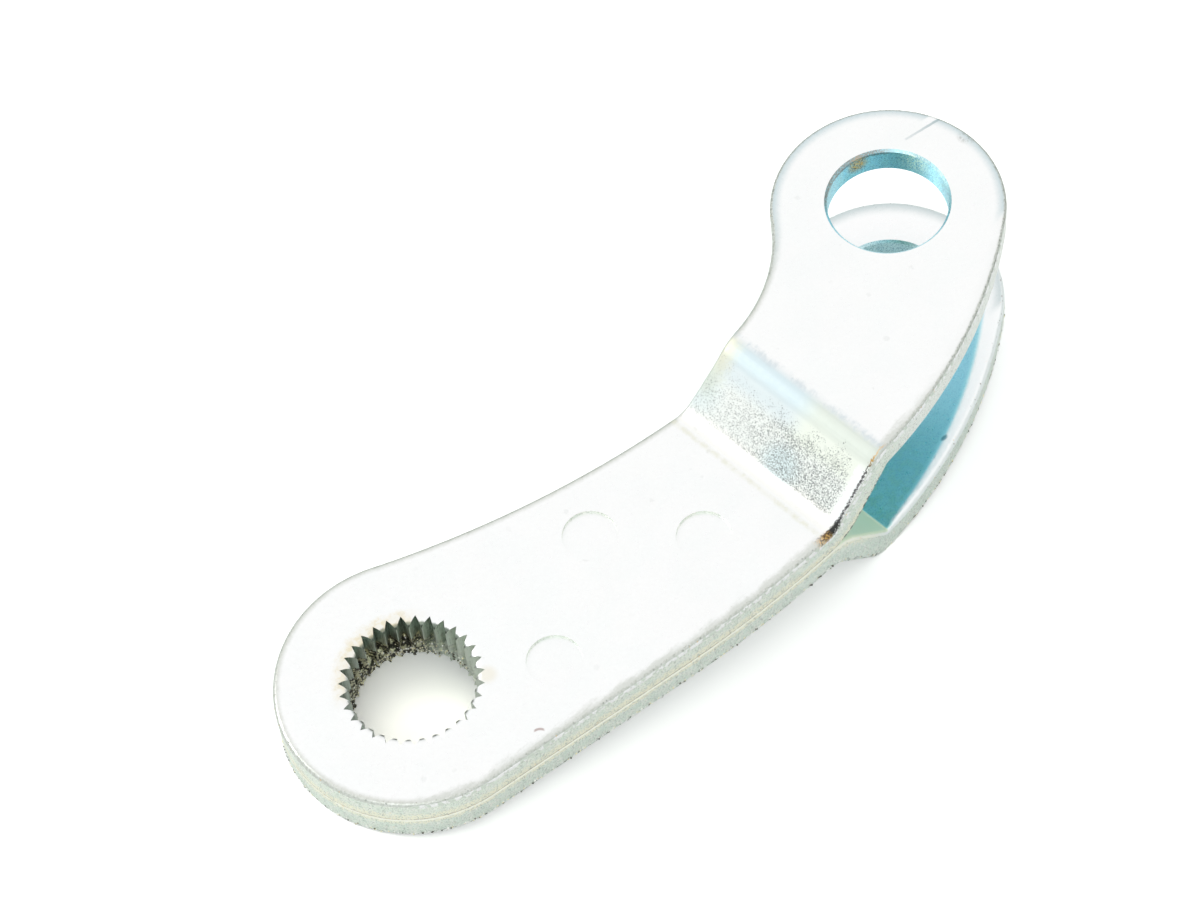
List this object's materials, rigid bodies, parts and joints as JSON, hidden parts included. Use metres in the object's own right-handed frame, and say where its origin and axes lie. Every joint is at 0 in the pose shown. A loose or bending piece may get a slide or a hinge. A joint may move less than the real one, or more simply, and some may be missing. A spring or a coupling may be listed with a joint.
{
  "type": "brake cam lever",
  "caption": "Drum-brake cam lever of stamped plates welded face to face, with a serrated camshaft hole at one end and a stepped fork with a clevis pin hole at the other.",
  "frame": {"origin": "on the axis of the serrated hole, in the plane where the plates meet", "axes": "+Z along the serrated hole's axis, +X from the serrated hole towards the fork holes"},
  "size_m": [0.0929, 0.0326, 0.0192],
  "materials": {
    "zinc_plate": "bright zinc plated, slightly blue",
    "weld_steel": "dull, sealed between the plates"
  },
  "bodies": {
    "root": {"upper_plate": "zinc_plate", "lower_plate": "zinc_plate", "weld_nugget_1": "weld_steel", "weld_nugget_2": "weld_steel", "weld_nugget_3": "weld_steel"}
  },
  "joints": []
}
